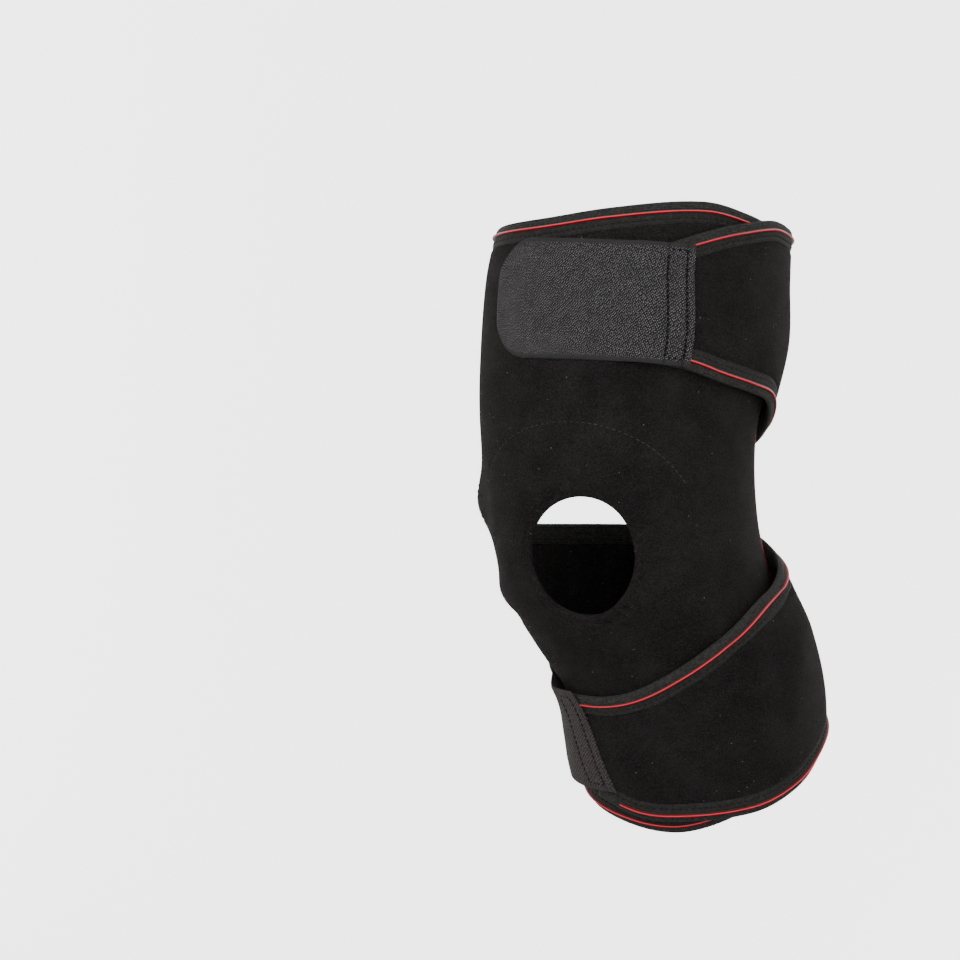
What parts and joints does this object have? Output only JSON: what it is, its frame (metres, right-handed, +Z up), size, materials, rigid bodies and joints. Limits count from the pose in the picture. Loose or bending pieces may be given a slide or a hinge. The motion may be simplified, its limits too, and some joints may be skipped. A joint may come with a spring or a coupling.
{
  "type": "knee_sleeve",
  "caption": "Open-patella wrap-round knee sleeve of soft pile sheet with bound edges, red piping, a padded kneecap opening and two hook tabs that close on the front",
  "frame": {"origin": "on the axis of the knee inside the sleeve, at the height of the centre of the kneecap opening", "axes": "+Z up the thigh, -Y towards the front of the knee where the kneecap opening is, +X towards the side where the wings lap over the sheet"},
  "size_m": [0.1541, 0.1589, 0.2893],
  "materials": {
    "pile_fabric": "black brushed loop pile laminated on foam",
    "binding_tape": "dark olive-grey ribbed binding tape",
    "piping": "red flat piping, slightly glossy",
    "hook_tape": "grey woven twill backing of hook tape"
  },
  "bodies": {
    "root": {"wrap_sheet": "pile_fabric", "opening_hem": "pile_fabric", "edge_binding": "binding_tape", "notch_binding": "binding_tape", "edge_piping": "piping", "notch_piping": "piping", "upper_hook_tab": "hook_tape", "lower_hook_tab": "hook_tape"}
  },
  "joints": []
}
